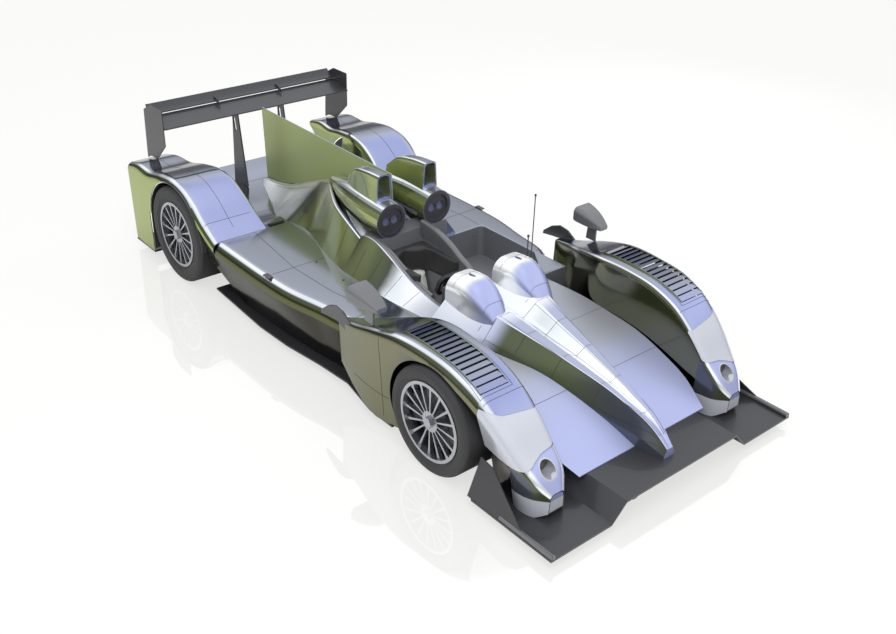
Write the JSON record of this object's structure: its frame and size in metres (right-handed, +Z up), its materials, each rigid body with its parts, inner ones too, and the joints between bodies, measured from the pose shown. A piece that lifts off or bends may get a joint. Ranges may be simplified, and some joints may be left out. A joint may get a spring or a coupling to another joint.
{
  "type": "sports prototype race car",
  "caption": "Open sports prototype race car with ridged nose, louvred fenders, side pods, shark fin and a rear wing on pylons.",
  "frame": {"origin": "on the ground below the middle of the car's length and width", "axes": "+Y from nose to tail, +X to the car's left, +Z up"},
  "size_m": [2, 4.58, 1.129],
  "materials": {
    "black_composite": "satin dark composite",
    "cast_metal": "cast",
    "dark_foam": "smooth, satin",
    "disc_iron": "machined",
    "engine_metal": "cast",
    "grey_shell": "glossy",
    "grip_rubber": "matt",
    "headlight_cover": "glossy off-white",
    "rim_metal": "satin",
    "seat_cloth": "woven, matt",
    "silver_bodywork": "glossy metallic silver",
    "steel": "satin",
    "tub_composite": "satin grey composite",
    "tyre_rubber": "matt rubber"
  },
  "bodies": {
    "chassis": {"front_fender_left": "silver_bodywork", "front_fender_right": "silver_bodywork", "front_louvres": "silver_bodywork", "headlight_covers": "headlight_cover", "front_splitter": "black_composite", "splitter_fences": "black_composite", "front_deck": "silver_bodywork", "nose": "silver_bodywork", "tub": "tub_composite", "sidepod_left": "silver_bodywork", "sidepod_right": "silver_bodywork", "engine_cover": "silver_bodywork", "roll_hoops": "steel", "rear_fender_left": "silver_bodywork", "rear_fender_right": "silver_bodywork", "rear_deck": "silver_bodywork", "underfloor": "black_composite", "diffuser": "black_composite", "shark_fin": "silver_bodywork", "engine": "engine_metal", "gearbox": "cast_metal", "rear_wing": "black_composite", "wing_endplates": "black_composite", "wing_pylons": "black_composite", "rear_uprights": "cast_metal", "front_wishbones": "steel", "rear_wishbones": "steel", "seat": "seat_cloth", "headrest": "dark_foam", "dashboard": "black_composite", "mirrors": "grey_shell", "tow_eyes": "steel"},
    "knuckle_left": {"knuckle_front_left": "cast_metal"},
    "knuckle_right": {"knuckle_front_right": "cast_metal"},
    "steering_wheel": {"steering_wheel": "grip_rubber"},
    "wheel_front_left": {"tyre_front_left": "tyre_rubber", "rim_front_left": "rim_metal", "brake_disc_front_left": "disc_iron"},
    "wheel_front_right": {"tyre_front_right": "tyre_rubber", "rim_front_right": "rim_metal", "brake_disc_front_right": "disc_iron"},
    "wheel_rear_left": {"tyre_rear_left": "tyre_rubber", "rim_rear_left": "rim_metal", "brake_disc_rear_left": "disc_iron"},
    "wheel_rear_right": {"tyre_rear_right": "tyre_rubber", "rim_rear_right": "rim_metal", "brake_disc_rear_right": "disc_iron"}
  },
  "joints": [
    {"name": "steer_left", "type": "hinge", "parent": "chassis", "child": "knuckle_left", "pos_m": [0.83, -1.3, 0.325], "axis": [0, 0, 1], "range_deg": [-12, 12]},
    {"name": "spin_front_left", "type": "hinge", "parent": "knuckle_left", "child": "wheel_front_left", "pos_m": [0.84, -1.3, 0.325], "axis": [1, 0, 0], "continuous": true},
    {"name": "spin_rear_left", "type": "hinge", "parent": "chassis", "child": "wheel_rear_left", "pos_m": [0.835, 1.57, 0.355], "axis": [1, 0, 0], "continuous": true},
    {"name": "steer_right", "type": "hinge", "parent": "chassis", "child": "knuckle_right", "pos_m": [-0.83, -1.3, 0.325], "axis": [0, 0, 1], "range_deg": [-12, 12]},
    {"name": "spin_front_right", "type": "hinge", "parent": "knuckle_right", "child": "wheel_front_right", "pos_m": [-0.84, -1.3, 0.325], "axis": [1, 0, 0], "continuous": true},
    {"name": "spin_rear_right", "type": "hinge", "parent": "chassis", "child": "wheel_rear_right", "pos_m": [-0.835, 1.57, 0.355], "axis": [1, 0, 0], "continuous": true},
    {"name": "steering", "type": "hinge", "parent": "chassis", "child": "steering_wheel", "pos_m": [-0.145, -0.5, 0.58], "axis": [0, 0.9397, 0.342], "range_deg": [-180, 180]}
  ],
  "couplings": [
    {"joint": "steer_right", "follows": "steer_left", "ratio": 1},
    {"joint": "steering", "follows": "steer_left", "ratio": 15}
  ]
}
